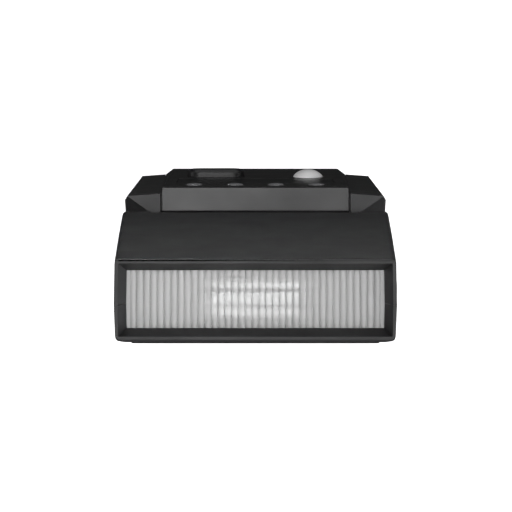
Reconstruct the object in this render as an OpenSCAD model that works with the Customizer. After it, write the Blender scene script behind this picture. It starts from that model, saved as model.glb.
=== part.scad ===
// Shoe-mount camera flash: battery body, swivel turret and tilting zoom head.
// Frame: origin at the centre of the foot's underside, +Z up, +Y towards the control
// panel, +X to the right of someone facing the front. The head points straight up.

/* [Head] */
// Height of the head's rim above the foot's underside
rim_z = 148; // [146:1:152]
// Half width of the head at its rim
head_rim_w = 37.6; // [37:0.1:38]
// Half width of the head near its lower end
head_low_w = 39.35; // [39:0.05:39.6]
// Wall thickness of every moulded casing
wall = 2; // [1.8:0.1:2.2]
// Pitch of the ribs on the front lens
rib_pitch = 1.816; // [1.6:0.002:1.83]
// Number of ribs on the front lens
rib_count = 37; // [31:2:37]
// Half width of the reflector's mouth
reflector_w = 11.9; // [10:0.1:13]

/* [Tilt and swivel] */
// Height of the tilt axis
tilt_z = 108; // [107:0.5:109]
// Distance of the tilt axis from the shoe's centre line, to the front
tilt_y = -9.5; // [-10:0.5:-9]
// Distance of the swivel axis from the shoe's centre line, to the front
swivel_y = -6; // [-6.5:0.5:-5.5]
// Radius of the turret's disc
turret_r = 17.5; // [16:0.5:17.5]
// Radius of the tilt shaft
shaft_r = 3; // [2.5:0.1:3]

/* [Body] */
// Underside of the body
body_z = 16; // [15.5:0.5:16.5]
// Height of the deck that the turret stands on
deck_z = 84; // [83.5:0.5:84.5]
// Height of the hood behind the head
hood_z = 92; // [91.5:0.5:92]
// Half width of the body at its underside
body_low_w = 37.9; // [37.5:0.1:38.2]
// Half width of the body at its shoulder
body_top_w = 39.4; // [39:0.1:39.6]

/* [Control panel] */
// Distance between neighbouring function keys
key_pitch = 12.2; // [11.5:0.1:12.4]
// Radius of a function key
key_r = 2.5; // [2.2:0.1:2.7]
// Height of the row of function keys
key_z = 81.5; // [81:0.1:81.8]
// Length of the rocker key
rocker_l = 17.6; // [16:0.2:18]
// Width of the rocker key
rocker_w = 8; // [7:0.2:8.4]
// Radius of the domed test button
test_r = 4.65; // [4:0.05:5]

/* [Shoe and battery] */
// Width of the foot's plate, a standard accessory shoe's
foot_w = 18.6; // [18.4:0.05:18.65]
// Thickness of the foot's plate
foot_t = 2; // [1.9:0.05:2]
// Radius of a battery cell
cell_r = 7.2; // [7:0.05:7.2]
// Length of a battery cell without its button
cell_l = 49.2; // [48.5:0.1:49.2]

/* [Hidden] */
$fn = 48;
eps = 0.01;
slide_gap = 0.08;      // radial clearance of a sliding or turning fit
split_gap = 0.05;      // half of the line between two casing halves

// Body outline: it widens from the underside to the shoulder, then bevels in to the deck
shoulder_z = 75;
split_y = 12;          // plane where the front tub meets the back cover
front_low_y = -25.4;
front_top_y = -26.55;
back_slope = 0.12;
back_top_y = 17.68;
crown = 0.65;          // the back face stands this much prouder beside the panel
side_lean = atan((body_top_w - body_low_w) / (shoulder_z - body_z));
function along(z, a, b) = a + (b - a) * (z - body_z) / (shoulder_z - body_z);
function body_w(z) = along(z, body_low_w, body_top_w);
function body_front(z) = along(z, front_low_y, front_top_y);
function body_back(z) = back_top_y + (hood_z - z) * back_slope;

// Control panel: a slightly steeper plane that stands proud of the back
panel_slope = 0.121;
panel_lean = atan(panel_slope);
panel_top_y = 20.1;
panel_w = 27.4;
panel_t = 2.9;
panel_mid_z = 54;
board_depth = 5.5;
function panel_y(z) = panel_top_y + (hood_z - z) * panel_slope;
function panel_root_w(z) = panel_w + 0.1 + (hood_z - z) * 0.032;  // its sides flare out downwards
hood_gap_w = 28.05;    // half width of the gap that the panel's top plate lies in
key_x = [for (i = [0:3]) (i - 1.5) * key_pitch];
key_travel = 0.5;
display_z = 66.7;
display_size = [48, 19.5];
rocker_at = [-12.5, 48];
test_at = [16.6, 51.4];

// Head outline
pivot_r = 15.2;        // the head's lower front edge is an arc about the tilt axis
split_lean = atan(0.09);
head_split_y = -13.1;
lens_z = 143;
lens_slot_z = 140.3;
frame_z = 137;         // the window frame is solid above this height
window_y = [-19.3, -3.83];
window_w = [34.48, 34.66];
bevel = 1.94;
knuckle_r = 8;
knuckle_w = 15;
notch_gap = 0.3;
pocket_t = 1.5;
ear_x = 17.1;
rod_x = 31.5;
screw_x = -25;         // lead screw of the zoom drive
optic_y = -11.6;
chassis_z = 114;       // the inner plate that carries the guide rods and the motor
flange_r = 5.9;        // flanges behind the two round parts at the tilt axis
function head_w(z) = head_rim_w + (rim_z - z) * (head_low_w - head_rim_w) / (rim_z - 96);
function head_split(z) = head_split_y + (rim_z - z) * tan(split_lean);

// Battery door, on the right side, hinged at its lower edge
hinge_z = 20.4;
hinge_in = 2;          // the hinge axis lies this far inside the casing's surface
hinge_r = 1.9;
door_top_z = 57;
door_y = [-21.5, 10.2];
door_mid_y = (door_y[0] + door_y[1]) / 2;
cell_z = [31.5, 46.6];
cell_y = [-13.2, 1.9];

// Lock lever and pin in the shoe base
ring_z = 9.3;
ring_h = 3.1;
ring_in = 6.97;
ring_out = 9.6;
lever_rest = -25;
lever_sweep = 50;
pin_at = [-4.47, -6.7];
pin_r = 1.1;
pin_drop = 1.7;
pin_top = ring_z - 0.05 + pin_drop;

KEYS = [for (i = [1:4]) str("function_key_", i)];

casing_black = "#2c2c2d";
rubber_black = "#202021";
steel = "#a9abad";
board_green = "#2c5a3c";

// ---- helpers ----

module both_sides() {
    children();
    mirror([1, 0, 0]) children();
}

// The convex solid through outlines at several heights, each with as many points as the others
module convex(levels) {
    n = len(levels[0][1]);
    points = [for (l = levels, p = l[1]) [p[0], p[1], l[0]]];
    sides = [for (k = [0:len(levels) - 2], i = [0:n - 1])
        let (j = (i + 1) % n, a = k * n + i, b = k * n + j)
            each [[a, b, b + n], [a, b + n, a + n]]];
    ends = [[for (i = [n - 1:-1:0]) i], [for (i = [0:n - 1]) (len(levels) - 1) * n + i]];
    hull() polyhedron(points, concat(sides, ends));
}

// Mirrors the right half of an outline to the left
function whole(right) = concat(right, [for (i = [len(right) - 1:-1:0]) [-right[i][0], right[i][1]]]);

module box(x, y, z) {
    translate([x[0], y[0], z[0]]) cube([x[1] - x[0], y[1] - y[0], z[1] - z[0]]);
}

// A cylinder along X from x0 to x1
module rod_x(x0, x1, y, z, r) {
    translate([x0, y, z]) rotate([0, 90, 0]) cylinder(h = x1 - x0, r = r);
}

// A cylinder along Y from y0 to y1
module rod_y(y0, y1, x, z, r) {
    translate([x, y0, z]) rotate([-90, 0, 0]) cylinder(h = y1 - y0, r = r);
}

// A cylinder along Z from z0 to z1
module rod_z(z0, z1, x, y, r) {
    translate([x, y, z0]) cylinder(h = z1 - z0, r = r);
}

// Local frame on the panel's face: +z out of the face, +y down it
module on_panel(x, z) {
    translate([x, panel_y(z), z]) rotate([-90 + panel_lean, 0, 0]) children();
}

// Local frame on the right side of the body: +x out of it
module on_side(y, z) {
    translate([body_w(z), y, z]) rotate([0, side_lean, 0]) children();
}

module stadium(l, w, h) {
    for (s = [-1, 1]) translate([s * (l - w) / 2, 0, 0]) cylinder(h = h, d = w);
    translate([-(l - w) / 2, -w / 2, 0]) cube([l - w, w, h]);
}

// A push button turned about its own axis: flange, stem and a domed top
module turned_button(r, flange_r, depth, edge, apex) {
    dome_r = (r * r + (apex - edge) * (apex - edge)) / (2 * (apex - edge));
    rotate_extrude() {
        translate([0, -depth]) square([flange_r, 0.9]);
        translate([0, -depth]) square([r, depth + edge]);
        intersection() {
            translate([0, apex - dome_r]) circle(r = dome_r, $fn = 96);
            translate([0, edge - eps]) square([r, apex]);
        }
    }
}

module pan_screw(head_r, head_h, shank_r, shank_l) {
    difference() {
        cylinder(h = head_h, r = head_r);
        for (a = [0, 90]) rotate(a) translate([-head_r * 0.6, -0.2, head_h - 0.5])
            cube([head_r * 1.2, 0.4, 1]);
    }
    translate([0, 0, -shank_l]) cylinder(h = shank_l, r = shank_r);
}

// ---- body casing ----

function tower_outline(z, t) = let (w = body_w(z) - t, b = body_back(z) - t, f = body_front(z) + t)
    whole([[28.6, b + crown], [min(37.8 - t, w - eps), b], [w, b - 2.45], [w, f + 2.3], [w - 2, f]]);

module tower(t) {
    w = 34.3 - t;
    top = whole([[28.6, 14], [w, 14], [w, 12], [w, -22.6 + t], [w - 2, -24.8 + t]]);
    convex([[body_z + t, tower_outline(body_z + t, t)], [shoulder_z, tower_outline(shoulder_z, t)],
        [deck_z - t, top]]);
}

hood_foot_z = 74;      // the hood's front facets start at this height
hood_bend_z = 78;      // and turn into its sides at this one

// Outline of the back cover, moved inwards by t, with its front edge at y
function cover_outline(z, t, y) = let (b = body_back(z) - t, w = body_w(z) - t)
    whole([[28.6, b + crown], [min(37.8 - t, w - eps), b], [w, b - 2.45], [w, y]]);

module cover_block() {
    y = split_y + split_gap;
    convex([[body_z, cover_outline(body_z, 0, y)], [hood_foot_z, cover_outline(hood_foot_z, 0, y)]]);
    b = body_back(hood_bend_z);
    t = body_back(hood_z);
    convex([[hood_foot_z, cover_outline(hood_foot_z, 0, y)],
        [hood_bend_z, whole([[28.6, b + crown], [37.8, b], [body_w(hood_bend_z) - 0.05, 16.92], [36, y]])],
        [hood_z, whole([[28.6, t + crown], [37.8, t], [29.95, 13.4], [29.9, y]])]]);
}

module cover_hollow() {
    convex([[body_z + wall, cover_outline(body_z + wall, wall, 8)],
        [hood_foot_z, cover_outline(hood_foot_z, wall, 8)]]);
    convex([[hood_foot_z - 6, whole([[28, 17.2], [35.6, 17.2], [35.6, 9]])],
        [83.5, whole([[27, 16.2], [33, 16.2], [31, 14.2]])],
        [hood_z - 4.2, whole([[26.5, 15.8], [27, 15.8], [26.5, 14.4]])]]);
}

module half_space_front(y) { box([-60, 60], [-60, y], [-10, 170]); }

module turret_seat() {
    translate([0, swivel_y, deck_z - eps]) cylinder(h = 4, r1 = 18.7, r2 = 18.2, $fn = 96);
}

module af_window_hole(grow) {
    box([-15 - grow, 15 + grow], [-30, -22], [51 - grow, 66 + grow]);
}

module side_door_space(grow) {
    on_side(0, hinge_z)
        box([-6, 2], [door_y[0] - grow, door_y[1] + grow], [-hinge_in - grow, door_top_z - hinge_z + grow]);
}

module hinge_block() {
    on_side(door_mid_y, hinge_z) {
        translate([-hinge_in, -5, 0]) rotate([-90, 0, 0]) cylinder(h = 10, r = hinge_r);
        box([-hinge_in - hinge_r, -0.35], [-5, 5], [-4, 0]);
    }
}

module switch_slot() {
    mirror([1, 0, 0]) on_side(-4, 63) {
        box([-1, 3], [-3.6, 3.6], [-5.6, 5.6]);
        box([-5, 0], [-1.5, 1.5], [-4.3, 4.2]);
    }
}

body_screw_at = [[31, -18], [-31, -18]];
cover_screw_at = [[31, 15.2], [-31, 15.2]];

module screw_bosses(at) {
    for (p = at) rod_z(body_z + 0.5, 34, p[0], p[1], 2.6);
}

module screw_holes(at) {
    for (p = at) {
        rod_z(body_z - 1, body_z + 1.5, p[0], p[1], 2.4);
        rod_z(body_z, 28, p[0], p[1], 1.02);
    }
}

module front_shell() {
    color(casing_black) difference() {
        union() {
            difference() {
                intersection() { tower(0); half_space_front(split_y - split_gap); }
                difference() { tower(wall); side_frame(); }
            }
            intersection() { turret_seat(); half_space_front(split_y - split_gap); }
            difference() {
                for (p = body_screw_at) rod_z(body_z + 0.5, 22, p[0], p[1], 2.6);
                side_door_space(1);
            }
        }
        side_door_space(0.3);
        rod_z(70, 100, 0, swivel_y, 12.6);
        af_window_hole(0);
        rod_y(-30, -20, 25, 60, 3);
        switch_slot();
        screw_holes(body_screw_at);
        rod_z(10, 20, 0, 0, 5);
    }
    color(casing_black) difference() {
        intersection() { hinge_block(); tower(0.1); }
        on_side(door_mid_y, hinge_z) translate([-hinge_in, -6, 0]) rotate([-90, 0, 0])
            cylinder(h = 12, r = 0.82);
    }
}

// A thicker frame of wall round the battery door
module side_frame() {
    on_side(0, hinge_z) difference() {
        box([-3.4, 0], [door_y[0] - 1.4, door_y[1] + 1.4], [-2.2, door_top_z - hinge_z + 2.5]);
        box([-9, 3], [door_y[0] - 0.3, door_y[1] + 0.3], [-9, door_top_z - hinge_z + 0.3]);
    }
}

// The panel's body between heights z0 and z1, from its face to a depth
module panel_body(grow, depth, z0, z1) {
    convex([for (z = [z0, z1]) let (y = panel_y(z), w = panel_root_w(z) + grow)
        [z, whole([[panel_w + grow, y + grow], [w, y - 1.9 + grow], [w, y - depth]])]]);
}

module back_shell() {
    color(casing_black) difference() {
        union() {
            difference() { cover_block(); cover_hollow(); }
            screw_bosses_back();
            panel_ledge();
        }
        panel_body(0.12, panel_t + 0.05, body_z - 1, hood_z + 3);
        box([-hood_gap_w, hood_gap_w], [-5, 30], [hood_z - 2.3, hood_z + 1]);
        box([-hood_gap_w, hood_gap_w], [-5, 13.45], [hood_z - 7.2, hood_z + 1]);
        on_panel(0, panel_mid_z) box([-25.6, 25.6], [-31.4, 30], [-12, 3]);
        screw_holes(cover_screw_at);
    }
}

// The wall that the panel lies on
module panel_ledge() {
    z = [body_z + 0.5, hood_z - 2.6];
    convex([for (h = z) let (y = panel_y(h) - panel_t, w = panel_root_w(h) + 0.5)
        [h, whole([[w, y + 0.4], [w, y - 1.9]])]]);
}

module screw_bosses_back() {
    for (p = cover_screw_at) rod_z(body_z + 0.5, 30, p[0], p[1], 2.6);
}

// ---- control panel ----

module console_cover() {
    color(casing_black) difference() {
        union() {
            panel_body(0, panel_t, body_z + 0.3, hood_z);
            convex([[hood_z - 2.2, whole([[panel_w, 19], [panel_w, 13.4]])],
                [hood_z, whole([[panel_w, panel_top_y], [panel_w, 13.4]])]]);
            on_panel(rocker_at[0], rocker_at[1])
                for (s = [-1, 1]) box([-1.8, 1.8], [s * 5.6 - 0.7, s * 5.6 + 0.7], [-5.1, -panel_t + 0.5]);
        }
        for (x = key_x) on_panel(x, key_z) translate([0, 0, -5]) cylinder(h = 8, r = key_r + slide_gap);
        on_panel(test_at[0], test_at[1]) translate([0, 0, -5]) cylinder(h = 8, r = test_r + slide_gap);
        on_panel(rocker_at[0], rocker_at[1]) {
            translate([0, 0, -panel_t - 0.02]) stadium(rocker_l + 0.8, rocker_w + 0.4, 8);
            rotate([90, 0, 0]) translate([0, -3.9, -7]) cylinder(h = 14, r = 0.86);
        }
        on_panel(0, display_z) {
            box([-display_size[0] / 2, display_size[0] / 2], [-display_size[1] / 2, display_size[1] / 2],
                [-0.9, 2]);
            box([-22.5, 22.5], [-8.2, 8.2], [-6, 2]);
        }
    }
}

module display_window() {
    color([0.1, 0.11, 0.12, 0.6]) on_panel(0, display_z)
        box([-23.9, 23.9], [-9.65, 9.65], [-0.88, -0.02]);
}

module display_panel() {
    color("#7f8c7c") on_panel(0, display_z) box([-22.2, 22.2], [-8, 8], [-5.2, -1.2]);
}

module function_key(i) {
    color(casing_black) on_panel(key_x[i], key_z) turned_button(key_r, key_r + 0.6, 3.9, 0.2, 0.6);
}

module test_button() {
    color("#c9cacb") on_panel(test_at[0], test_at[1]) turned_button(test_r, test_r + 0.8, 3.9, 0.35, 2.5);
}

module rocker_key() {
    color(casing_black) on_panel(rocker_at[0], rocker_at[1]) {
        hull() {
            translate([0, 0, -3.5]) stadium(rocker_l, rocker_w, 4.9);
            translate([0, 0, 2.2]) stadium(rocker_l - 1.8, rocker_w - 1.8, 0.1);
        }
        difference() {
            translate([0, 0, -4.3]) stadium(rocker_l + 2.2, rocker_w + 0.6, 0.81);
            for (s = [-1, 1]) box([-2.1, 2.1], [s * 5.8 - 1.2, s * 5.8 + 1.2], [-5, -3]);
        }
        rotate([90, 0, 0]) translate([0, -3.9, -6.3]) cylinder(h = 12.6, r = 0.8);
    }
}

module control_board() {
    color(board_green) {
        on_panel(0, panel_mid_z) difference() {
            box([-25, 25], [-29.5, 29.5], [-board_depth - 1.6, -board_depth]);
            for (x = [-22, 22], y = [-26.5, 26.5]) translate([x, y, -9]) cylinder(h = 5, r = 1.2);
        }
        for (x = key_x) on_panel(x, key_z) translate([0, 0, -board_depth]) cylinder(h = 0.9, r = 1.2);
        on_panel(test_at[0], test_at[1]) translate([0, 0, -board_depth]) cylinder(h = 0.7, r = 1.6);
        on_panel(rocker_at[0], rocker_at[1])
            for (s = [-1, 1]) translate([s * 6.2, 0, -board_depth]) cylinder(h = 0.5, r = 1.4);
        on_panel(-8, 32) box([-7, 7], [-7, 7], [-board_depth - 3.2, -board_depth - 1.5]);
    }
}

// ---- power section ----

module power_board() {
    color(board_green) box([-34.2, -32.6], [-19, 8], [24, 70]);
}

module power_transformer() {
    color("#3a3a38") {
        box([-32.6, -22.2], [-13, 1], [30, 45]);
        rod_x(-32.6, -24.6, -6, 55, 5.5);
    }
}

module main_capacitor() {
    color("#34363c") rod_x(-20, 25, -6.5, 65.6, 9);
}

module battery_tray() {
    color("#3b3b3c") difference() {
        box([-20.5, 34.2], [-21.9, 10.6], [22.8, 55.3]);
        box([-19.3, 35], [-20.7, 9.4], [24, 54.1]);
    }
}

module battery_cells() {
    for (y = cell_y, z = cell_z) {
        flip = (y < 0) == (z < 40);
        color("#b8b3a4") rod_x(-16.6, -16.6 + cell_l, y, z, cell_r);
        color(steel) if (flip) rod_x(-16.6 + cell_l - eps, -15.6 + cell_l, y, z, 2.7);
        else rod_x(-17.6, -16.6 + eps, y, z, 2.7);
    }
}

module battery_contacts() {
    color(steel) for (y = cell_y, z = cell_z) {
        box([-19.3, -18.8], [y - 5.5, y + 5.5], [z - 5.5, z + 5.5]);
        rod_x(-18.8 - eps, -17.7, y, z, 2.2);
    }
}

module battery_door() {
    h = door_top_z - hinge_z;
    color(casing_black) on_side(0, hinge_z) difference() {
        union() {
            box([-hinge_in, 0], [door_y[0], door_y[1]], [0, h]);
            for (s = [-1, 1]) translate([-hinge_in, door_mid_y + s * 10.5 - 5, 0]) rotate([-90, 0, 0])
                cylinder(h = 10, r = hinge_r);
        }
        box([-6, 2], [door_mid_y - 5.3, door_mid_y + 5.3], [-3, 2.6]);
        translate([-hinge_in, -30, 0]) rotate([-90, 0, 0]) cylinder(h = 60, r = 0.85);
        box([-1.3, 2], [door_mid_y - 5.1, door_mid_y + 5.1], [h - 9.5, h - 2]);
        for (i = [0:5]) let (z = h - 13 - 1.6 * i)
            box([-0.35, 2], [door_mid_y - 8, door_mid_y + 8], [z, z + 0.8]);
    }
}

module door_contacts() {
    color("#b9a46c") on_side(0, hinge_z)
        for (y = cell_y) box([-hinge_in - 0.45, -hinge_in], [y - 5, y + 5], [7, 31]);
}

module door_hinge_pin() {
    color(steel) on_side(0, hinge_z) translate([-hinge_in, door_mid_y - 15.4, 0]) rotate([-90, 0, 0])
        cylinder(h = 30.8, r = 0.8);
}

module door_latch() {
    h = door_top_z - hinge_z;
    color(rubber_black) on_side(door_mid_y, hinge_z) {
        box([-1.2, 0.1], [-4.9, 4.9], [h - 7.8, h - 2.2]);
        for (i = [0:2]) box([0, 0.55], [-4, 4], [h - 6.9 + 1.6 * i, h - 6.2 + 1.6 * i]);
    }
}

module power_switch() {
    color("#4a4a4b") mirror([1, 0, 0]) on_side(-4, 63) {
        box([-0.85, 0.15], [-3.4, 3.4], [-5.4, 0.6]);
        for (i = [0:2]) box([0.1, 0.6], [-2.8, 2.8], [-4.6 + 1.7 * i, -3.8 + 1.7 * i]);
        box([-2.8, -0.8], [-1.2, 1.2], [-3.9, -0.9]);
        box([-3.3, -2.35], [-2.6, 2.6], [-4.6, -0.2]);
    }
}

// ---- front windows ----

module af_assist_window() {
    color("#3a0d10") intersection() {
        box([-14.9, 14.9], [-30, -23.6], [51.1, 65.9]);
        translate([0, 95.4, 58.5]) rotate([0, 90, 0]) cylinder(h = 40, r = 121.8, center = true, $fn = 360);
    }
}

module af_assist_lamp() {
    color("#d8d8d8") {
        box([-9, 9], [-18.6, -17.2], [56, 64.8]);
        rod_y(-23, -18.6, 0, 59.6, 3);
    }
}

module sensor_window() {
    color("#16110f") rod_y(-25.6, -23, 25, 60, 2.95);
}

// ---- shoe ----

function base_outline(w, d) = whole([[w - 3, d], [w, d - 3], [w, -d + 3], [w - 3, -d]]);

// A ring sector from radius r0 to r1 between two azimuths and two heights
module ring_sector(r0, r1, a0, a1, z0, z1) {
    rotate(a0) translate([0, 0, z0]) rotate_extrude(angle = a1 - a0)
        translate([r0, 0]) square([r1 - r0, z1 - z0]);
}

base_screw_at = [[-11.6, -6], [11.6, -6], [-11.6, 5.4], [11.6, 5.4]];

module shoe_base() {
    color(casing_black) difference() {
        convex([[4.5, base_outline(14.2, 13.2)], [12, base_outline(17.2, 15.6)],
            [body_z - eps, base_outline(18.6, 16.8)]]);
        rod_z(0, ring_z + ring_h + 0.2, 0, 0, ring_out + 0.2);
        rod_z(0, 14.1, 0, 0, 6.95);
        rod_z(0, 20, 0, 0, 4);
        ring_sector(8, 40, 70 + lever_rest, 110 - lever_rest, ring_z - 0.2, ring_z + ring_h + 0.2);
        for (p = base_screw_at) {
            rod_z(0, 5.9, p[0], p[1], 1.9);
            rod_z(4, 12, p[0], p[1], 0.82);
        }
    }
}

contact_at = [[0, 0, 1.3], [3.3, -4.6, 0.9], [-3.2, -2.9, 0.9], [3.3, 4.4, 0.9], [-3.3, 4.4, 0.9]];

module shoe_foot() {
    h = foot_w / 2;
    color(steel) difference() {
        union() {
            linear_extrude(height = foot_t) polygon([[-h + 1, -h], [h - 1, -h], [h, -h + 1], [h, h - 1],
                [h - 1, h], [-h + 1, h], [-h, h - 1], [-h, -h + 1]]);
            box([-6.1, 6.1], [-8.6, 8.6], [foot_t - eps, 4.45]);
            rod_z(4.4, 9.05, 0, 0, ring_out);
            rod_z(9, 14, 0, 0, 6.9);
        }
        for (c = contact_at) rod_z(-1, 3.2, c[0], c[1], c[2] + 0.02);
        rod_z(3.2, 20, 0, 0, 3.6);
        rod_z(-1, 20, pin_at[0], pin_at[1], pin_r + 0.06);
        rod_z(5.2, 20, pin_at[0], pin_at[1], 1.9);
    }
}

module shoe_contacts() {
    color("#c9a85a") for (c = contact_at) rod_z(0, 3.1, c[0], c[1], c[2]);
}

module lock_lever() {
    steps = 5;
    first = atan2(pin_at[1], pin_at[0]);
    color(casing_black) difference() {
        union() {
            rod_z(ring_z, ring_z + ring_h, 0, 0, ring_out);
            rotate(lever_rest) {
                box([-3, 3], [8, 21], [ring_z, ring_z + ring_h]);
                box([-4.5, 4.5], [20.5, 25.4], [ring_z, ring_z + 4.6]);
            }
        }
        rod_z(0, 20, 0, 0, ring_in);
        for (k = [0:steps - 1]) let (turned = k * lever_sweep / steps)
            ring_sector(ring_in - 0.5, ring_out + 0.3, first - turned - 18, first - turned + 8,
                ring_z - 1, pin_top + 0.15 - pin_drop * k / steps);
        rotate(lever_rest) for (i = [-1:1]) box([i * 2 - 0.4, i * 2 + 0.4], [25, 26], [0, 20]);
    }
}

module lock_pin() {
    color(steel) {
        rod_z(0.15, pin_top, pin_at[0], pin_at[1], pin_r);
        rod_z(8.2, 8.95, pin_at[0], pin_at[1], 1.65);
    }
}

// A coil of round wire wound about the pin
spring_turns = 4;
spring_steps = 12;
spring_r = 1.5;
spring_wire = 0.15;
spring_z = [5.4, 8.0];

module lock_pin_spring() {
    n = spring_turns * spring_steps;
    sides = 6;
    pitch = (spring_z[1] - spring_z[0]) / n;
    function ring(i) = let (a = 360 * i / spring_steps)
        [for (j = [0:sides - 1]) let (b = 360 * j / sides, r = spring_r + spring_wire * cos(b))
            [pin_at[0] + r * cos(a), pin_at[1] + r * sin(a),
                spring_z[0] + pitch * i + spring_wire * sin(b)]];
    points = [for (i = [0:n]) each ring(i)];
    walls = [for (i = [0:n - 1], j = [0:sides - 1]) let (k = (j + 1) % sides)
        [i * sides + j, (i + 1) * sides + j, (i + 1) * sides + k, i * sides + k]];
    ends = [[for (j = [0:sides - 1]) j], [for (j = [sides - 1:-1:0]) n * sides + j]];
    color(steel) polyhedron(points, concat(walls, ends));
}

module base_screws() {
    color(steel) for (p = base_screw_at) translate([p[0], p[1], 5.9]) rotate([180, 0, 0])
        pan_screw(1.8, 1.1, 0.8, 5);
}

module body_screws() {
    color(steel) for (p = concat(body_screw_at, cover_screw_at)) translate([p[0], p[1], body_z + 1.5])
        rotate([180, 0, 0]) pan_screw(2.2, 1.2, 1, 4.6);
}

// ---- swivel and tilt ----

module swivel_bearing_plate() {
    color(steel) difference() {
        box([-24, 24], [-22, 10], [79.7, 81.8]);
        rod_z(70, 90, 0, swivel_y, 12.06);
        for (x = [-21, 21], y = [-19, 7]) rod_z(70, 90, x, y, 1.1);
    }
}

module swivel_turret() {
    color(casing_black) difference() {
        union() {
            translate([0, swivel_y, deck_z + 4.3]) cylinder(h = 2.9, r = turret_r, $fn = 96);
            translate([0, swivel_y, deck_z + 7.2 - eps])
                cylinder(h = 1, r1 = turret_r, r2 = turret_r - 1, $fn = 96);
            rod_z(79.4, deck_z + 5, 0, swivel_y, 12);
            rod_z(75.5, 80, 0, swivel_y, 10);
            rod_x(-knuckle_w, knuckle_w, tilt_y, tilt_z, knuckle_r);
            box([-knuckle_w, knuckle_w], [tilt_y - knuckle_r, tilt_y + knuckle_r], [deck_z + 8, tilt_z]);
        }
        rod_x(-20, 20, tilt_y, tilt_z, shaft_r + 0.02);
        rod_z(70, 99, 0, swivel_y, 6);
        for (a = [30:120:270]) rotate_about_swivel(a) rod_z(70, 79, 8, 0, 0.62);
    }
}

module rotate_about_swivel(a) {
    translate([0, swivel_y, 0]) rotate(a) children();
}

module swivel_retainer() {
    color(steel) difference() {
        rod_z(77.5, 79.3, 0, swivel_y, 14.5);
        rod_z(70, 90, 0, swivel_y, 10.02);
        for (a = [0:45:315]) rotate_about_swivel(a) rod_z(70, 90, 14.9, 0, 0.9);
    }
}

module tilt_shaft() {
    color(steel) rod_x(-19, 19, tilt_y, tilt_z, shaft_r);
}

module tilt_release_button() {
    color(rubber_black) {
        rod_x(33.9, 40, tilt_y, tilt_z, 5.2);
        rod_x(33.9, 34.9, tilt_y, tilt_z, flange_r);
        rod_x(40 - eps, 40.3, tilt_y, tilt_z, 3.6);
    }
}

module hinge_cap() {
    color(casing_black) {
        rod_x(-39.9, -35.4, tilt_y, tilt_z, 5.2);
        rod_x(-36, -35.2, tilt_y, tilt_z, flange_r);
    }
}

// ---- head casing ----

// Side view of the head, moved inwards by t
module head_profile(t) {
    arc = [for (a = [0:6:90]) [tilt_y - (pivot_r - t) * sin(a), tilt_z - (pivot_r - t) * cos(a)]];
    points = concat([[-22.2 + t, rim_z], [-0.9 - t, rim_z], [-0.5 - t, rim_z - 0.6], [6.55 - t, 121.7],
        [13.05 - t, 95.2], [12.4 - t, 93.4 + t], [11.2 - t, tilt_z - pivot_r + t]], arc,
        [[-22.7 + t, rim_z - 0.8]]);
    rotate([90, 0, 90]) translate([0, 0, -45]) linear_extrude(height = 90) polygon(points);
}

module head_plan(t) {
    convex([for (z = [92, rim_z + 0.5]) let (w = head_w(z) - t)
        [z, whole([[w - 0.45, 15], [w, head_split(z)], [w - 0.5, -26]])]]);
}

module head_outer() {
    difference() {
        intersection() { head_profile(0); head_plan(0); }
        box([-30.5, 30.5], [12.35, 20], [90, 96.6]);
    }
}

module head_hollow() {
    intersection() {
        head_profile(wall);
        head_plan(wall);
        box([-50, 50], [-40, 40], [90, frame_z]);
    }
}

module hinge_notch(grow) {
    box([-knuckle_w - 0.4 - grow, knuckle_w + 0.4 + grow],
        [-40, tilt_y + knuckle_r + notch_gap + grow], [80, tilt_z + knuckle_r + notch_gap + grow]);
}

// The window: a steep mitred bevel down to the lens, the lens slot and the aperture behind
module window_cut() {
    y = window_y;
    w = window_w;
    function rim(g) = whole([[w[0] + g, y[1] + g * 0.95], [w[1] + g, head_split_y],
        [w[0] + g, y[0] - g * 1.08]]);
    convex([[lens_z - 0.1, rim(0)], [rim_z + 0.5, rim(bevel + 0.2)]]);
    box([-35.1, 35.1], [y[0] - 0.4, y[1] + 0.4], [lens_slot_z - 0.1, lens_z - 0.05]);
    box([-34.2, 34.2], [-18.95, -4.2], [frame_z - 1, lens_z]);
    box([-36.3, 36.3], [-1.42, -1.05], [rim_z - 0.6, rim_z + 1]);
}

module behind_split(gap) {
    translate([0, head_split_y + gap, rim_z]) rotate([split_lean, 0, 0]) box([-60, 60], [0, 60], [-80, 20]);
}

module head_casing() {
    difference() {
        union() {
            difference() { head_outer(); head_hollow(); }
            intersection() { head_outer(); hinge_notch(pocket_t); }
        }
        hinge_notch(0);
        window_cut();
        rod_x(-25, 25, tilt_y, tilt_z, shaft_r + 0.4);
        rod_x(30, 45, tilt_y, tilt_z, 5.28);
        rod_x(-45, -30, tilt_y, tilt_z, 5.25);
    }
}

head_screw_at = [[31.5, 116], [-31.5, 116], [31.5, 139.6], [-31.5, 139.6]];

module head_back_shell() {
    color(casing_black) intersection() { head_casing(); behind_split(split_gap); }
}

module head_front_shell() {
    color(casing_black) difference() {
        head_casing();
        behind_split(-split_gap);
        for (p = head_screw_at) {
            rod_y(-30, head_front(p[1]) + 1.5, p[0], p[1], 1.75);
            rod_y(-30, -15.2, p[0], p[1], 0.82);
        }
    }
}

function head_front(z) = -24.7 + (z - tilt_z) * 2 / 39.2;

module head_screws() {
    color(steel) for (p = head_screw_at) translate([p[0], head_front(p[1]) + 1.5, p[1]]) rotate([90, 0, 0])
        pan_screw(1.65, 1.1, 0.8, 5);
}

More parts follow.
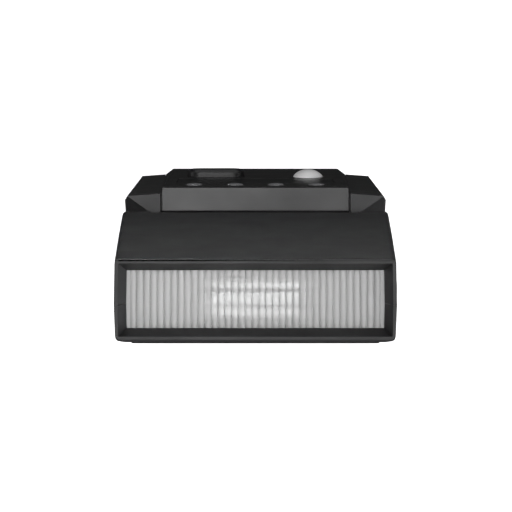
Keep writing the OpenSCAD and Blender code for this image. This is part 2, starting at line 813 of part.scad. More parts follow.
module head_hinge_bracket() {
    color(steel) difference() {
        union() {
            both_sides() {
                box([ear_x, ear_x + 1.5], [-14, 4], [102, 114]);
                rod_x(ear_x, ear_x + 1.5, tilt_y, tilt_z, 6);
                box([ear_x, 34], [2.5, 4], [102, 110]);
            }
            box([-ear_x - 1.5, ear_x + 1.5], [2.5, 4], [102, 114]);
        }
        both_sides() rod_x(16, 20, tilt_y, tilt_z, shaft_r + 0.05);
        both_sides() rod_y(0, 10, 28, 106, 1);
    }
}

module head_chassis() {
    color("#4b4c4e") difference() {
        both_sides() box([17.3, 35.6], [-17.4, 3.2], [chassis_z, chassis_z + 1.5]);
        both_sides() rod_z(100, 120, rod_x, optic_y, 1.02);
        rod_z(100, 120, screw_x, optic_y, 2);
    }
}

module guide_rods() {
    color(steel) both_sides() rod_z(chassis_z, 139.9, rod_x, optic_y, 1);
}

module zoom_motor() {
    color(steel) difference() {
        union() {
            rod_z(chassis_z - 12, chassis_z, screw_x, optic_y, 5);
            rod_z(chassis_z - 0.1, chassis_z + 0.2, screw_x, optic_y, 1.9);
        }
        rod_z(chassis_z - 6, 120, screw_x, optic_y, 1.56);
    }
}

module zoom_leadscrew() {
    color(steel) rod_z(chassis_z - 5, 138.8, screw_x, optic_y, 1.5);
}

module trigger_coil() {
    color("#b06a35") rod_z(chassis_z + 1.6, 126, 24, -1, 2.9);
}

// ---- optics ----

module front_lens() {
    half = rib_count * rib_pitch / 2;
    rise = 0.55;
    step = 6;
    ribs = [for (i = [0:rib_count * step]) let (u = i / step)
        [-half + u * rib_pitch, rise * sqrt(abs(sin(180 * u)))]];
    color([0.9, 0.92, 0.94, 0.55]) {
        difference() {
            box([-34.9, 34.9], [window_y[0] - 0.3, window_y[1] + 0.3], [lens_slot_z + 0.2, 142.25]);
            both_sides() rod_z(138, 141.3, rod_x, optic_y, 1.04);
        }
        translate([0, window_y[1] + 0.3, 142.24]) rotate([90, 0, 0])
            linear_extrude(height = window_y[1] - window_y[0] + 0.6)
            polygon(concat([[half, -0.4], [-half, -0.4]], ribs));
        both_sides() difference() {
            rod_z(138.6, lens_slot_z + 0.3, rod_x, optic_y, 1.9);
            rod_z(138, 141.3, rod_x, optic_y, 1.04);
        }
    }
}

carriage_z = 134;

module zoom_carriage() {
    color("#d6d8da") difference() {
        union() {
            box([-33.8, 33.8], [-18.6, -4.5], [carriage_z - 1.4, carriage_z]);
            both_sides() rod_z(carriage_z - 9, carriage_z, rod_x, optic_y, 2.3);
            rod_z(carriage_z - 7, carriage_z, screw_x, optic_y, 3.2);
            both_sides() box([reflector_w + 1, reflector_w + 2.6], [-17, -6], [carriage_z - 7, carriage_z]);
        }
        both_sides() rod_z(100, 140, rod_x, optic_y, 1.06);
        rod_z(100, 140, screw_x, optic_y, 1.58);
        box([-reflector_w - 0.6, reflector_w + 0.6], [optic_y - 5.5, optic_y + 5.5], [120, 140]);
        both_sides() rod_x(10, 20, optic_y, carriage_z - 4.2, 2.1);
    }
}

// A trough of polished sheet, open at both ends for the tube
module reflector() {
    inner = [for (a = [0:15:180]) [4.85 * cos(a), -6.6 * pow(sin(a), 0.8)]];
    outer = [for (a = [180:-15:0]) [5.2 * cos(a), -7 * pow(sin(a), 0.8)]];
    color("#e2e3e4") translate([0, optic_y, carriage_z]) difference() {
        union() {
            rotate([90, 0, 90]) translate([0, 0, -reflector_w - 0.3])
                linear_extrude(height = 2 * reflector_w + 0.6) polygon(concat(inner, outer));
            both_sides() translate([reflector_w, 0, 0]) rotate([90, 0, 90])
                linear_extrude(height = 0.3) polygon(outer);
        }
        rod_x(-20, 20, 0, -4.2, 2.1);
    }
}

module flash_tube() {
    color([0.92, 0.95, 1, 0.5]) rod_x(-16, 16, optic_y, carriage_z - 4.2, 1.9);
}

module tube_terminals() {
    color(steel) both_sides() {
        rod_x(16, 17.6, optic_y, carriage_z - 4.2, 1.4);
        rod_x(17.5, 19.5, optic_y, carriage_z - 4.2, 0.5);
    }
}

// ---- drawing ----

front_shell();
back_shell();
console_cover();
display_window();
display_panel();
for (i = [0:3]) function_key(i);
rocker_key();
test_button();
control_board();
power_board();
power_transformer();
main_capacitor();
battery_tray();
battery_cells();
battery_contacts();
battery_door();
door_contacts();
door_hinge_pin();
door_latch();
power_switch();
af_assist_window();
af_assist_lamp();
sensor_window();
shoe_base();
shoe_foot();
shoe_contacts();
lock_lever();
lock_pin();
lock_pin_spring();
base_screws();
body_screws();
swivel_bearing_plate();
swivel_turret();
swivel_retainer();
tilt_shaft();
head_back_shell();
head_front_shell();
head_hinge_bracket();
head_chassis();
head_screws();
tilt_release_button();
hinge_cap();
front_lens();
zoom_carriage();
reflector();
flash_tube();
tube_terminals();
zoom_leadscrew();
zoom_motor();
guide_rods();
trigger_coil();
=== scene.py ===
# %% [markdown]
# # A shoe-mount flash, finished in Blender
#
# The engineering of this flash is settled before Blender opens: a CAD program has made
# each part as its own solid.
# What is left is what the eye sees: rounded edges, a clear ribbed lens, grained black
# plastic, and light that shows them. The lesson builds those one after another.
#
# The first step brings the CAD parts in as a fixed frame. Nothing in it is moved, so
# everything that is added finds its place by asking the frame where a part lies.

# %% The frame
import math

import bpy
import mathutils
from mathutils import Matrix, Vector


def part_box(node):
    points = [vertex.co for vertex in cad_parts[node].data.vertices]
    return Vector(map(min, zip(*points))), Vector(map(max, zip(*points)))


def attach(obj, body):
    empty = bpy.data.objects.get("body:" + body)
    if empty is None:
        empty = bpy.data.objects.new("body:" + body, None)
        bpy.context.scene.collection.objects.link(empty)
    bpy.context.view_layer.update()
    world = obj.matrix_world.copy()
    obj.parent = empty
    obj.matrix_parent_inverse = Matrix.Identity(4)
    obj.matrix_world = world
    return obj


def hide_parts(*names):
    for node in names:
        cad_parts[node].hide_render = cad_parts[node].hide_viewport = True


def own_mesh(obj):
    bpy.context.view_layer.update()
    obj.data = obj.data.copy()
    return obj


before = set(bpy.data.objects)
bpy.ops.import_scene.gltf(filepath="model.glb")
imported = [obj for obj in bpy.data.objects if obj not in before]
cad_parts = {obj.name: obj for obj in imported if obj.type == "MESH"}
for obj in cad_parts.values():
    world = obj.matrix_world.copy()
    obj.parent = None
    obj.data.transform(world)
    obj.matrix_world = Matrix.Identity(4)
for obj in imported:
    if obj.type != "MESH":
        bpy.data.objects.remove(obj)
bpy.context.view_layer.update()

bpy.ops.object.select_all(action="DESELECT")

MM = 0.001  # Blender works in metres, and this lesson gives lengths in millimetres
DEGREE = math.pi / 180

# %% [markdown]
# ## Camera
#
# The flash stands on its foot and is seen from straight above, from a little over half
# a metre. A long lens keeps the perspective gentle, yet the lower parts still look
# smaller than the window at the top. Sizes on a sensor follow from similar triangles,
# so the focal length is worked out from the height of the camera and the width that
# it takes in at the floor.

# %% The camera
CAMERA_HEIGHT = 652 * MM
FLOOR_WIDTH = 175.7 * MM
SENSOR = 36.0

bpy.ops.object.camera_add(location=(0, 0, CAMERA_HEIGHT), rotation=(0, 0, 0))
camera = bpy.context.object
camera.data.sensor_width = SENSOR
camera.data.lens = SENSOR * CAMERA_HEIGHT / FLOOR_WIDTH
camera.data.shift_x = 0.0012
camera.data.clip_start = 10 * MM
bpy.context.scene.camera = camera
print("focal length", round(camera.data.lens, 1), "mm")

# %% [markdown]
# ## Nodes and colours
#
# A material in Blender is a small network of nodes. Every network in this lesson is
# written with one helper, which adds a node and fills its sockets either with a
# value or with a link from another node. Colours are written the way a paint program
# shows them, as sRGB hex values, and one function turns them into the linear values
# that light is computed with.

# %% Helpers for materials
def linear(code):
    """The linear colour of an sRGB hex value such as "#2b2b2c"."""
    parts = [int(code[i : i + 2], 16) / 255 for i in (1, 3, 5)]
    return [v / 12.92 if v <= 0.04045 else ((v + 0.055) / 1.055) ** 2.4 for v in parts] + [1.0]


def add(tree, kind, inputs=None, **settings):
    """Adds a node with its settings, and fills its sockets with values or links."""
    node = tree.nodes.new(kind)
    for key, value in settings.items():
        setattr(node, key, value)
    for key, value in (inputs or {}).items():
        if isinstance(value, bpy.types.NodeSocket):
            tree.links.new(value, node.inputs[key])
        else:
            node.inputs[key].default_value = value
    return node


def new_material(name, colour, roughness, **sockets):
    """A material with one Principled shader, and the tree and shader to build on."""
    material = bpy.data.materials.new(name)
    material.use_nodes = True
    material.diffuse_color = linear(colour)
    shader = material.node_tree.nodes["Principled BSDF"]
    shader.inputs["Base Color"].default_value = linear(colour)
    shader.inputs["Roughness"].default_value = roughness
    for key, value in sockets.items():
        shader.inputs[key.replace("_", " ")].default_value = value
    return material, material.node_tree, shader


def per_metre(millimetres):
    """The scale of a texture node for a feature of that size."""
    return 1 / (millimetres * MM)


# %% [markdown]
# ## Floor, backdrop and lights
#
# A product like this is lit for its planes. One wide soft light hangs above, so each
# surface is as bright as it faces up, and a weak gridded one adds a glow at the back
# on the left. Three low lights, on the right, in front and on the left, lift the steep
# faces that look their way. The head would merge with the body from behind, so a
# strip with a grid, which keeps its beam narrow, skims the head's back, and a wide
# one fills the rest of that side.
#
# The floor is a wide disc whose rim is pulled up into a wall, so that a camera at
# any side sees one pale surface. It glows a little as well, the way a light table
# does, which keeps it clean and white round the flash. It's hidden from the
# rays that carry light to the flash, because black plastic would otherwise be lit
# from below and lose its depth.

# %% The floor and the backdrop
FLOOR_RADIUS = 2.4  # these four are in metres
FLOOR_RING = 0.5    # width of the ring inside the wall
WALL_HEIGHT = 2.2
WALL_CURVE = 0.45   # the floor bends up into the wall by this much


def make_floor():
    """A disc whose rim is raised into a wall, with a bend between the two."""
    bpy.ops.mesh.primitive_circle_add(vertices=96, radius=FLOOR_RADIUS, fill_type="NGON")
    floor = bpy.context.object
    floor.name = "studio_floor"
    bpy.ops.object.mode_set(mode="EDIT")
    bpy.ops.mesh.select_mode(type="EDGE")
    bpy.ops.mesh.select_all(action="SELECT")
    bpy.ops.mesh.inset(thickness=FLOOR_RING)
    bpy.ops.mesh.select_all(action="DESELECT")
    bpy.ops.object.mode_set(mode="OBJECT")
    for edge in floor.data.edges:
        ends = [floor.data.vertices[v].co for v in edge.vertices]
        edge.select = all(end.length > FLOOR_RADIUS - 0.01 for end in ends)
    bpy.ops.object.mode_set(mode="EDIT")
    bpy.ops.mesh.extrude_region_move(TRANSFORM_OT_translate={"value": (0, 0, WALL_HEIGHT)})
    bpy.ops.mesh.select_all(action="SELECT")
    bpy.ops.mesh.bevel(offset=WALL_CURVE, segments=8, affect="EDGES")
    bpy.ops.object.mode_set(mode="OBJECT")
    bpy.ops.object.shade_smooth()
    return floor


floor = make_floor()
floor_paint, tree, shader = new_material("matte white studio paint", "#e8e8e8", 0.9)
shader.inputs["Emission Color"].default_value = linear("#ffffff")
shader.inputs["Emission Strength"].default_value = 0.9
floor.data.materials.append(floor_paint)
floor.visible_diffuse = False
floor.visible_glossy = False
print("floor of", len(floor.data.polygons), "faces")

# %% The lights
def soft_light(name, place, size, watts, aim=(0, 0, 70 * MM), spread=180):
    """A rectangular light aimed at a point. A grid on it narrows its spread, in degrees."""
    bpy.ops.object.light_add(type="AREA", location=place)
    lamp = bpy.context.object
    lamp.name = name
    lamp.data.shape = "RECTANGLE"
    lamp.data.size, lamp.data.size_y = size
    lamp.data.energy = watts
    lamp.data.spread = spread * DEGREE
    way = mathutils.Vector(aim) - lamp.location
    lamp.rotation_euler = way.to_track_quat("-Z", "Y").to_euler()
    lamp.visible_camera = False
    return lamp


# Each light's place and size are in metres and its power in watts. The two with a grid
# also say what they are aimed at and how wide their beam is.
HEAD_BACK_LEFT = (-0.035, 0.05, 90 * MM)
HEAD_RIM_LEFT = (-0.06, 0, 148 * MM)
soft_light("top_light", (0.2, -0.2, 1.25), (1.1, 1.1), 10.5)
soft_light("left_glow", (-0.12, 0.1, 0.5), (0.15, 0.15), 0.035, HEAD_BACK_LEFT, 40)
soft_light("right_light", (1.1, -0.25, 0.28), (0.6, 0.3), 6)
soft_light("front_light", (0.1, -1.2, 0.17), (0.9, 0.2), 3.5)
soft_light("left_light", (-1.2, 0.0, 0.12), (0.8, 0.12), 1.5)
soft_light("back_strip", (-0.05, 0.95, 0.13), (0.5, 0.03), 0.065, HEAD_RIM_LEFT, 9)
soft_light("back_fill", (0.0, 1.3, 0.1), (1.4, 0.15), 2.5)

world = bpy.data.worlds.new("dim_room")
world.use_nodes = True
background = world.node_tree.nodes["Background"]
background.inputs["Color"].default_value = linear("#8c8c8c")
background.inputs["Strength"].default_value = 0.11
bpy.context.scene.world = world
bpy.context.scene.view_settings.view_transform = "Standard"

# %% [markdown]
# ## Moulded plastics
#
# The casing is ABS, moulded in a tool whose walls were eroded by sparks. The pits of
# that tool come out as a fine grain that scatters light, so the plastic looks matt
# and a shade lighter than its pigment. The real grain is near a tenth of a
# millimetre, too fine to show from here, so it is drawn three times as coarse.
# The same family, with its own colour, grain and sheen, covers the satin panel,
# the nylon of the levers, the white polycarbonate of the zoom carriage and the
# silicone of the soft buttons, black for the release button and grey for the keys.

# %% The family of moulded plastics
def moulded_plastic(name, colour, roughness, grain, depth, patch=0.05):
    """Grained plastic: grain is its spacing and depth its height, in millimetres."""
    material, tree, shader = new_material(name, colour, roughness, IOR=1.53)
    place = add(tree, "ShaderNodeTexCoord").outputs["Object"]
    pits = add(tree, "ShaderNodeTexNoise", {"Vector": place, "Scale": per_metre(grain),
                                            "Detail": 2.0, "Roughness": 0.6})
    cloud = add(tree, "ShaderNodeTexNoise", {"Vector": place, "Scale": per_metre(12),
                                             "Detail": 3.0})
    bump = add(tree, "ShaderNodeBump", {"Height": pits.outputs["Fac"], "Strength": 1.0,
                                        "Distance": depth * MM})
    gloss = add(tree, "ShaderNodeMapRange", {"Value": cloud.outputs["Fac"], "From Min": 0.3,
                                             "From Max": 0.7, "To Min": roughness - patch,
                                             "To Max": roughness + patch})
    tone = add(tree, "ShaderNodeMix", {"Factor": pits.outputs["Fac"]}, data_type="RGBA")
    base = linear(colour)
    tone.inputs["A"].default_value = [v * 0.86 for v in base[:3]] + [1]
    tone.inputs["B"].default_value = [v * 1.14 for v in base[:3]] + [1]
    tree.links.new(tone.outputs["Result"], shader.inputs["Base Color"])
    tree.links.new(gloss.outputs["Result"], shader.inputs["Roughness"])
    tree.links.new(bump.outputs["Normal"], shader.inputs["Normal"])
    return material


grained_abs = moulded_plastic("spark-grained black ABS", "#2a2a2b", 0.55, 0.35, 0.02)
satin_abs = moulded_plastic("satin black ABS", "#202021", 0.42, 0.3, 0.008)
glass_nylon = moulded_plastic("glass-filled black nylon", "#343435", 0.5, 0.6, 0.02)
# The head is the same grained ABS as the body. This copy is painted darker than the body's: painted
# shade on the head.
shaded_head_abs = moulded_plastic("spark-grained black ABS, darker copy for painted shade", "#202021", 0.55, 0.35, 0.02)
silicone = moulded_plastic("moulded silicone rubber", "#1e1e1f", 0.75, 0.4, 0.01)
white_polycarbonate = moulded_plastic("white polycarbonate", "#dedede", 0.5, 0.8, 0.004)
grey_silicone = moulded_plastic("grey silicone keys", "#77787a", 0.5, 0.4, 0.006)
print("plastics:", [m.name for m in (grained_abs, shaded_head_abs, satin_abs, glass_nylon, silicone,
                                     grey_silicone, white_polycarbonate)])

# %% [markdown]
# ## Clear and tinted plastics
#
# The front lens is clear acrylic, moulded with polished ribs. Light bends as it goes in
# and out, so the white inside of the head shows through as bright and dark stripes.
# Nothing has to be painted to get them: acrylic's refractive index of 1.49 and the
# shape of the ribs make them. The lens is slightly cloudy, as a diffusing grade is, so
# seven tenths of the light goes through and its surface is not quite sharp. The window
# over the display is the same acrylic with a smoke tint, and the one over the focus
# lamp is red.

# %% The acrylics
def acrylic(name, colour, transmission, roughness=0.03, **sockets):
    """Polished acrylic with the faint waviness that a mould leaves."""
    material, tree, shader = new_material(name, colour, roughness, IOR=1.49,
                                          Transmission_Weight=transmission, **sockets)
    place = add(tree, "ShaderNodeTexCoord").outputs["Object"]
    flow = add(tree, "ShaderNodeTexNoise", {"Vector": place, "Scale": per_metre(9), "Detail": 1.0})
    bump = add(tree, "ShaderNodeBump", {"Height": flow.outputs["Fac"], "Strength": 0.2,
                                        "Distance": 0.02 * MM})
    tree.links.new(bump.outputs["Normal"], shader.inputs["Normal"])
    return material


clear_acrylic = acrylic("clear moulded acrylic", "#f8f8f8", 0.7, 0.1)
smoked_acrylic = acrylic("smoked acrylic", "#1a1c1e", 0.6, 0.3, Specular_IOR_Level=0.2)
red_acrylic = acrylic("dark red acrylic", "#3a090c", 0.25, 0.06)
tube_glass = acrylic("borosilicate glass", "#fdfefe", 1.0, 0.0)
print("clear plastics ready")

# %% [markdown]
# ## Metals
#
# A metal has no colour under its surface: all of it is in the reflection, so metallic
# is 1 and the base colour is the metal's own tint. How the surface was worked
# gives the rest. Rolled reflector sheet is nearly a mirror, plated steel is a little
# cloudy, and the foot is brushed, which draws fine lines along the shoe's rails. The
# silver test button isn't metal but painted plastic, pale with a few bright flakes, so
# only a small share of it reflects as metal does.

# %% The metals
def metal(name, colour, roughness, mark=(1, 1, 1), spacing=0.5, depth=0.004, share=1.0):
    """A metal with worked marks: mark stretches them along an axis, spacing and depth are
    in mm, and share is how much of the surface is metal."""
    material, tree, shader = new_material(name, colour, roughness, Metallic=share)
    place = add(tree, "ShaderNodeTexCoord").outputs["Object"]
    grain = add(tree, "ShaderNodeMapping", {"Vector": place, "Scale": mark})
    lines = add(tree, "ShaderNodeTexNoise", {"Vector": grain.outputs["Vector"],
                                             "Scale": per_metre(spacing), "Detail": 3.0})
    gloss = add(tree, "ShaderNodeMapRange", {"Value": lines.outputs["Fac"], "From Min": 0.25,
                                             "From Max": 0.75, "To Min": roughness * 0.75,
                                             "To Max": roughness * 1.3})
    bump = add(tree, "ShaderNodeBump", {"Height": lines.outputs["Fac"], "Strength": 0.6,
                                        "Distance": depth * MM})
    tree.links.new(gloss.outputs["Result"], shader.inputs["Roughness"])
    tree.links.new(bump.outputs["Normal"], shader.inputs["Normal"])
    return material


ALONG_Y = (1, 0.03, 1)
ALONG_X = (0.03, 1, 1)
rolled_aluminium = metal("bright rolled aluminium", "#ffffff", 0.18, ALONG_X, 0.4, 0.0005)
plated_steel = metal("zinc-plated steel", "#a4a6a8", 0.34, spacing=1.5)
brushed_steel = metal("brushed stainless steel", "#b9bbbd", 0.3, ALONG_Y, 0.25, 0.006)
gold_plate = metal("gold plate", "#d8b36a", 0.25, spacing=0.8)
satin_silver = metal("satin silver paint on ABS", "#ffffff", 0.45, spacing=0.6, depth=0.001,
                     share=0.15)
copper_wire = metal("enamelled copper wire", "#a8602f", 0.35, (1, 1, 12), 0.5)
print("metals ready")

# %% [markdown]
# ## The electrical parts
#
# Inside the casing are circuit boards, a large capacitor, cells and the display. They
# show only when a lid is off, but they are real pieces, so each gets the finish
# of the real one: solder mask over laminate, a shrunk sleeve, and grey display glass.

# %% Laminate, sleeves and display glass
def laminate():
    """Solder mask over copper: lighter where the tracks run beneath it."""
    material, tree, shader = new_material("solder-masked laminate", "#1d5a38", 0.35)
    place = add(tree, "ShaderNodeTexCoord").outputs["Object"]
    tracks = add(tree, "ShaderNodeTexBrick", {"Vector": place, "Scale": per_metre(6),
                                              "Color1": linear("#1d5a38"),
                                              "Color2": linear("#206440"),
                                              "Mortar": linear("#2d7a50"), "Mortar Size": 0.03})
    tree.links.new(tracks.outputs["Color"], shader.inputs["Base Color"])
    return material


def sleeve(name, colour, roughness):
    """Shrunk film, slightly rippled by the heat that shrank it."""
    material, tree, shader = new_material(name, colour, roughness, Coat_Weight=0.3)
    place = add(tree, "ShaderNodeTexCoord").outputs["Object"]
    ripple = add(tree, "ShaderNodeTexNoise", {"Vector": place, "Scale": per_metre(4),
                                              "Detail": 2.0})
    bump = add(tree, "ShaderNodeBump", {"Height": ripple.outputs["Fac"], "Strength": 0.5,
                                        "Distance": 0.05 * MM})
    tree.links.new(bump.outputs["Normal"], shader.inputs["Normal"])
    return material


board_laminate = laminate()
capacitor_film = sleeve("shrunk PVC sleeve", "#25272d", 0.3)
cell_film = sleeve("printed cell film, plain", "#a7a294", 0.35)
display_glass = moulded_plastic("display glass", "#7d8a7a", 0.3, 0.3, 0.002)
print("electrical finishes ready")

# %% [markdown]
# ## Rounding the moulded edges
#
# No moulded part has a knife edge. The CAD solids do, because that is all that they need
# in order to fit and move, so each visible one is copied, its loose triangles are
# merged into whole faces, and its edges are rounded by the radius that the tool would
# have. A rounded edge is what catches the light and draws a thin bright line, so
# this step gives more realism than any material.
#
# It works by operators alone. Edges are chosen in code by where they lie, and
# the sharpest way to say that is a small test on an edge's middle, direction and angle.

# %% Helpers for modelling
def only(piece):
    """Makes a piece the only one that is selected, and the active one."""
    bpy.ops.object.select_all(action="DESELECT")
    piece.select_set(True)
    bpy.context.view_layer.objects.active = piece


def edit_all(piece, *steps):
    """Runs mesh operators on the whole of a piece, each given as (operator, settings)."""
    only(piece)
    bpy.ops.object.mode_set(mode="EDIT")
    for operator, settings in steps:
        bpy.ops.mesh.select_all(action="SELECT")
        operator(**settings)
    bpy.ops.object.mode_set(mode="OBJECT")


def edges_of(piece):
    """For each edge: its index, middle, direction and the angle between its faces."""
    mesh = piece.data
    faces = {}
    for face in mesh.polygons:
        for key in face.edge_keys:
            faces.setdefault(key, []).append(face.normal)
    for edge in mesh.edges:
        a, b = (mesh.vertices[v].co for v in edge.vertices)
        near = faces.get(tuple(sorted(edge.vertices)), [])
        angle = near[0].angle(near[1], 0.0) if len(near) == 2 else 0.0
        yield edge.index, (a + b) / 2, (b - a), angle


def pick(piece, kind, chosen):
    """Selects edges or faces of a piece by number, and nothing else."""
    only(piece)
    bpy.ops.object.mode_set(mode="EDIT")
    bpy.ops.mesh.select_mode(type=kind)
    bpy.ops.mesh.select_all(action="DESELECT")
    bpy.ops.object.mode_set(mode="OBJECT")
    elements = piece.data.edges if kind == "EDGE" else piece.data.polygons
    for number in chosen:
        elements[number].select = True


def round_edges(piece, width, segments, test=None, sharper_than=28, clamp=True):
    """Rounds the sharp edges of a piece, or those of them that a test accepts."""
    chosen = [i for i, middle, way, angle in edges_of(piece)
              if angle > sharper_than * DEGREE and (test is None or test(middle, way))]
    if chosen:
        pick(piece, "EDGE", chosen)
        bpy.ops.object.mode_set(mode="EDIT")
        bpy.ops.mesh.bevel(offset=width * MM, segments=segments, affect="EDGES",
                           clamp_overlap=clamp)
        bpy.ops.object.mode_set(mode="OBJECT")
    return len(chosen)


def even_shading(piece, angle=35):
    """Smooth shading that keeps flat faces flat, weighted by the size of each face."""
    only(piece)
    bpy.ops.object.shade_smooth_by_angle(angle=angle * DEGREE)
    weighted = piece.modifiers.new("even", "WEIGHTED_NORMAL")
    weighted.keep_sharp = True
    bpy.ops.object.modifier_apply(modifier=weighted.name)


def bench_copy(node, name):
    """A copy of a CAD part to work on, its triangles merged into whole faces."""
    piece = bpy.data.objects.new(name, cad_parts[node].data.copy())
    bpy.context.scene.collection.objects.link(piece)
    piece.data.materials.clear()
    edit_all(piece, (bpy.ops.mesh.remove_doubles, {"threshold": 0.001 * MM}),
             (bpy.ops.mesh.dissolve_limited, {"angle_limit": 0.6 * DEGREE}))
    return piece


def finish_piece(piece, body, material, slot, *nodes):
    """Gives a piece its material and its body, and hides the CAD parts it stands for. The slot is
    not used.
    """
    piece.data.materials.clear()
    piece.data.materials.append(material)
    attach(piece, body)
    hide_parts(*nodes)
    print(f"{piece.name}: {len(piece.data.polygons)} faces")


# %% [markdown]
# ## Casings with one radius all over
#
# Most of the casings are rounded by one small radius. A loop does them all: for each,
# the table gives the CAD part, the new piece's name, its body, the radius in
# millimetres, its material and the slot in the part's record.

# %% The evenly rounded casings
ROUNDED = [
    ("front_shell", "body_front_casing", "body", 0.25, grained_abs, "casing_plastic"),
    ("back_shell", "body_back_casing", "body", 0.2, grained_abs, "casing_plastic"),
    ("console_cover", "panel_cover", "body", 0.12, satin_abs, "panel_plastic"),
    ("battery_door", "battery_lid", "battery_door", 0.12, grained_abs, "casing_plastic"),
    ("door_latch", "lid_latch", "door_latch", 0.12, silicone, "rubber"),
    ("power_switch", "slide_switch", "power_switch", 0.1, glass_nylon, "dark_plastic"),
    ("shoe_base", "shoe_housing", "body", 0.2, grained_abs, "casing_plastic"),
    ("shoe_foot", "metal_foot", "body", 0.1, brushed_steel, "foot_metal"),
    ("lock_lever", "lock_ring_lever", "lock_lever", 0.12, glass_nylon, "dark_plastic"),
    ("swivel_turret", "turret", "turret", 0.2, grained_abs, "casing_plastic"),
    ("tilt_release_button", "release_button", "tilt_release", 0.3, silicone, "rubber"),
    ("hinge_cap", "tilt_axis_cap", "head", 0.3, grained_abs, "casing_plastic"),
    ("rocker_key", "rocker", "rocker", 0.2, satin_abs, "rubber"),
    ("test_button", "test_dome", "test_button", 0.25, satin_silver, "button_metal"),
]
ROUNDED += [(f"function_key_{i}", f"key_{i}_cap", f"key_{i}", 0.25, grey_silicone, "rubber")
            for i in (1, 2, 3, 4)]

for node, name, body, radius, material, slot in ROUNDED:
    piece = bench_copy(node, name)
    round_edges(piece, radius, 2)
    even_shading(piece)
    finish_piece(piece, body, material, slot, node)

# %% [markdown]
# ## The head's two casings
#
# The head is moulded in two halves. Its four tall corners have a radius of more than a
# millimetre, so that the halves leave the tool easily and the head feels smooth in
# the hand. The rim round the window is crisper, with a groove behind it that marks
# where a diffuser clips on. So the corners are rounded first, the groove and the
# parting line are left sharp, and the rest gets a small radius.

# %% The head casings
HEAD_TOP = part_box("head_front_shell")[1].z
SPLIT_Y = -13.1 * MM               # where the halves meet at the rim
SPLIT_LEAN = 0.09                  # and how fast that line goes back further down
SIDE_X = 36.4 * MM                 # edges outside this belong to the side faces
SIDE_SPREAD = 0.036                # the head widens by this much on its way down
GROOVE_Z = HEAD_TOP - 0.7 * MM     # the groove lies above this height
GROOVE_Y = (-1.45 * MM, -1.02 * MM)
CORNER_RADIUS, CRISP_RADIUS = 1.2, 0.15  # in millimetres


def on_split(middle):
    """True at the line where the two halves meet, which leans back a little."""
    return abs(middle.y - SPLIT_Y - (HEAD_TOP - middle.z) * SPLIT_LEAN) < 0.2 * MM


def side_corner(middle, way):
    """True for an edge round the outside of the head's two side faces."""
    outline = SIDE_X + (HEAD_TOP - middle.z) * SIDE_SPREAD
    return abs(middle.x) > outline and middle.z < HEAD_TOP - 0.1 * MM and not on_split(middle)


def crisp(middle, way):
    """True for every edge but those of the split and of the groove behind the window."""
    groove = middle.z > GROOVE_Z and GROOVE_Y[0] < middle.y < GROOVE_Y[1]
    return not groove and not on_split(middle)


for half in ("back", "front"):
    piece = bench_copy(f"head_{half}_shell", f"head_{half}_casing")
    corners = round_edges(piece, CORNER_RADIUS, 5, side_corner, clamp=False)
    others = round_edges(piece, CRISP_RADIUS, 2, crisp)
    even_shading(piece)
    print(corners, "corner edges and", others, "others")
    finish_piece(piece, "head", shaded_head_abs, "casing_plastic", f"head_{half}_shell")

# %% [markdown]
# ## The ribbed lens
#
# The window is moulded acrylic with a row of upright ribs. Each rib is half of a flat
# ellipse in section, and together they spread the tube's light evenly across the
# subject. One rib is made from a cylinder: it is squashed into an ellipse and cut
# in half along its length. Copies at the rib spacing are then joined edge to edge,
# and the open underside is pulled down and closed to make a solid plate.

# %% The lens
RIBS = 37
RIB_PITCH = 1.816 * MM
RIB_RISE = 0.55 * MM
PLATE = 1.74 * MM  # thickness of the lens under its ribs


def one_rib(width, length, rise):
    """The upper half of an elliptical rod that lies along Y."""
    bpy.ops.mesh.primitive_cylinder_add(vertices=32, radius=0.5, depth=1,
                                        rotation=(90 * DEGREE, 0, 0))
    rib = bpy.context.object
    bpy.ops.object.transform_apply(location=True, rotation=True, scale=True)
    edit_all(rib, (bpy.ops.transform.resize, {"value": (width, length, 2 * rise)}),
             (bpy.ops.mesh.bisect, {"plane_co": (0, 0, 0), "plane_no": (0, 0, 1),
                                    "clear_inner": True}))
    return rib


def ribbed_lens():
    """The row of ribs on its plate, with a plain margin at each end."""
    low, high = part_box("front_lens")
    rib_row = RIB_PITCH * RIBS
    lens = one_rib(RIB_PITCH, high.y - low.y, RIB_RISE)
    lens.name = "ribbed_lens"
    row = lens.modifiers.new("row", "ARRAY")
    row.count = RIBS
    row.use_relative_offset = False
    row.use_constant_offset = True
    row.constant_offset_displace = (RIB_PITCH, 0, 0)
    bpy.ops.object.modifier_apply(modifier=row.name)
    edit_all(lens, (bpy.ops.mesh.remove_doubles, {"threshold": 0.004 * MM}),
             (bpy.ops.transform.translate, {"value": ((RIB_PITCH - rib_row) / 2,
                                                      (low.y + high.y) / 2,
                                                      high.z - RIB_RISE)}))
    bpy.ops.object.mode_set(mode="EDIT")
    bpy.ops.mesh.select_mode(type="EDGE")
    bpy.ops.mesh.select_all(action="DESELECT")
    bpy.ops.mesh.select_non_manifold()
    bpy.ops.mesh.extrude_region_move(TRANSFORM_OT_translate={"value": (0, 0, -PLATE)})
    bpy.ops.mesh.edge_face_add()
    bpy.ops.object.mode_set(mode="OBJECT")
    for side in (-1, 1):  # the plain margins beside the ribs
        faces = [f.index for f in lens.data.polygons
                 if f.normal.x * side > 0.999 and f.area > 10 * MM * MM]
        pick(lens, "FACE", faces)
        bpy.ops.object.mode_set(mode="EDIT")
        margin = side * (high.x - rib_row / 2)
        bpy.ops.mesh.extrude_region_move(TRANSFORM_OT_translate={"value": (margin, 0, 0)})
        bpy.ops.object.mode_set(mode="OBJECT")
    edit_all(lens, (bpy.ops.mesh.normals_make_consistent, {}))
    return lens


lens = ribbed_lens()
only(lens)
bpy.ops.object.shade_smooth_by_angle(angle=40 * DEGREE)
finish_piece(lens, "head", clear_acrylic, "lens_plastic", "front_lens")
print(RIBS, "ribs,", round(RIB_PITCH / MM, 3), "mm apart")

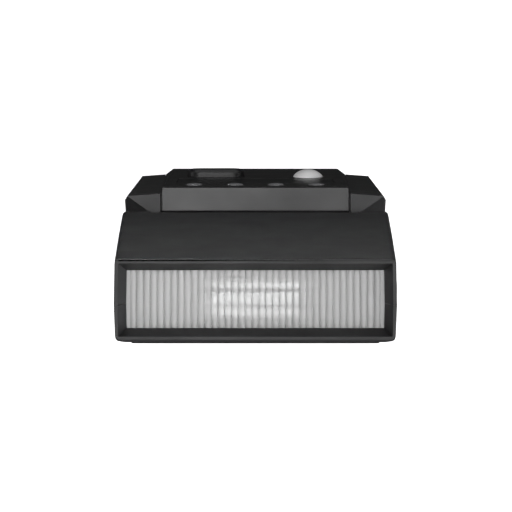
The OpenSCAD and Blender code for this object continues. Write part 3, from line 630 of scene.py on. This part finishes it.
# %% [markdown]
# ## The reflector and its tube
#
# Behind the lens a trough of bright sheet throws the tube's light forwards. It is
# half of an elliptical cylinder, so it starts as a round one that is stretched, cut
# open at the top and given the thickness of the sheet. Fine sides keep its
# shine in long even bands.

# %% The reflector
SHEET = 0.3 * MM  # thickness of the bright sheet


def trough():
    """Half of an elliptical cylinder, open at the top, as thick as the sheet."""
    low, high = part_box("reflector")
    bpy.ops.mesh.primitive_cylinder_add(vertices=64, radius=0.5, depth=1,
                                        rotation=(0, 90 * DEGREE, 0))
    sheet = bpy.context.object
    sheet.name = "reflector_trough"
    bpy.ops.object.transform_apply(location=True, rotation=True, scale=True)
    size = (high.x - low.x, high.y - low.y, 2 * (high.z - low.z))
    rim = ((low.x + high.x) / 2, (low.y + high.y) / 2, high.z)
    edit_all(sheet, (bpy.ops.transform.resize, {"value": size}),
             (bpy.ops.mesh.bisect, {"plane_co": (0, 0, 0), "plane_no": (0, 0, -1),
                                    "clear_inner": True}),
             (bpy.ops.transform.translate, {"value": rim}))
    thick = sheet.modifiers.new("sheet", "SOLIDIFY")
    thick.thickness = SHEET
    thick.offset = -1
    bpy.ops.object.modifier_apply(modifier=thick.name)
    bpy.ops.object.shade_smooth_by_angle(angle=40 * DEGREE)
    return sheet


sheet = trough()
finish_piece(sheet, "zoom_carriage", rolled_aluminium, "reflector_metal", "reflector")

# %% [markdown]
# ## The spring of the lock pin
#
# Under the shoe a small coil spring lifts the lock pin. When the lever drives the pin
# down, the spring shortens: its top goes with the pin and its foot stays where it
# is. Here it rides on the pin whole, without shortening.

# %% The spring
spring = bench_copy("lock_pin_spring", "pin_spring")
even_shading(spring, 60)
finish_piece(spring, "lock_pin", plated_steel, "steel", "lock_pin_spring")
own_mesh(spring)

# %% [markdown]
# ## Finishes of the parts that stay as CAD made them
#
# Round turned parts and the electrical parts need no new shape. They get the
# material of the real thing in their own material slots.

# %% Finishes for the carried-over parts
FINISH_OF = {
    "door_contacts": gold_plate, "shoe_contacts": gold_plate,
    "control_board": board_laminate, "power_board": board_laminate,
    "power_transformer": glass_nylon, "battery_tray": glass_nylon, "head_chassis": glass_nylon,
    "main_capacitor": capacitor_film, "battery_cells": cell_film, "display_panel": display_glass,
    "af_assist_window": red_acrylic, "sensor_window": red_acrylic, "display_window": smoked_acrylic,
    "af_assist_lamp": white_polycarbonate, "zoom_carriage": white_polycarbonate,
    "flash_tube": tube_glass, "trigger_coil": copper_wire,
}  # the rest are screws, shafts, pins and plates of plated steel

for name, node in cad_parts.items():
    material = FINISH_OF.get(name, plated_steel)
    node.data.materials.clear()
    node.data.materials.append(material)
print("finishes given to", len(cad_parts), "parts")
